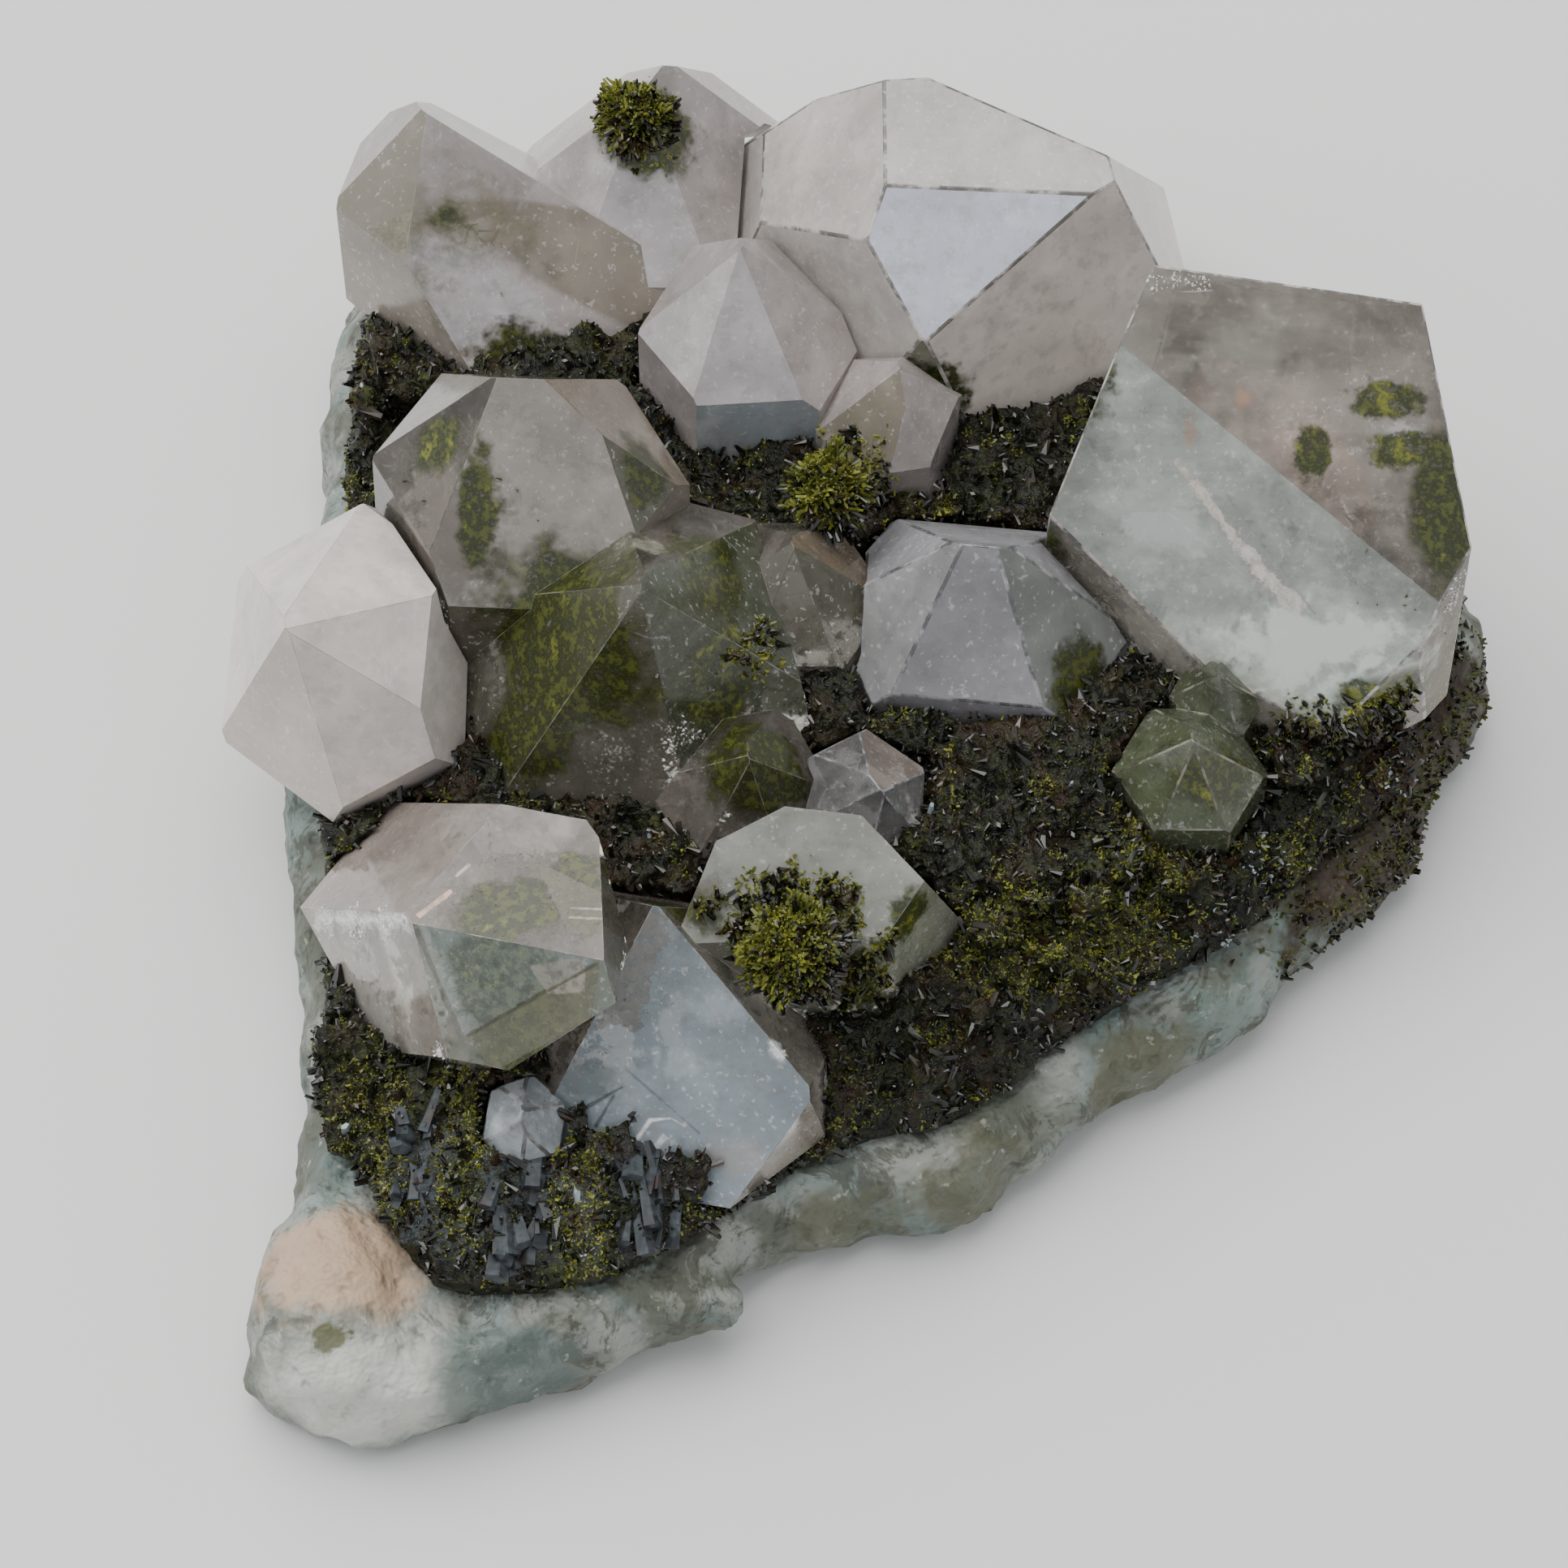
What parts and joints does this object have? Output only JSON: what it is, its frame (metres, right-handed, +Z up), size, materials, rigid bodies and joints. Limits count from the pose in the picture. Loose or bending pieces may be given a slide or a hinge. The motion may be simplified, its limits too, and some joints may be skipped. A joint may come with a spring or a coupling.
{
  "type": "epidote with quartz",
  "caption": "Mineral specimen: clear and milky quartz crystals with green inclusions in a dark green epidote crust, on a pale rock base cut flat below.",
  "frame": {"origin": "middle of the flat cut under the rock", "axes": "+Z up out of the flat cut, +Y to the back of the specimen along its longest extent, +X to its right"},
  "size_m": [0.0611, 0.0698, 0.0271],
  "materials": {
    "rock": "rough",
    "epidote": "glossy",
    "quartz": "glossy"
  },
  "bodies": {
    "root": {"matrix_rock": "rock", "epidote_crust": "epidote", "quartz_right": "quartz", "quartz_front": "quartz", "quartz_middle": "quartz", "quartz_left": "quartz", "quartz_gray": "quartz", "quartz_back_right": "quartz", "quartz_back": "quartz", "quartz_small_front": "quartz", "quartz_small_clear": "quartz", "quartz_small_right": "quartz", "epidote_spray_front": "epidote", "epidote_spray_back": "epidote", "epidote_spray_top": "epidote"}
  },
  "joints": []
}
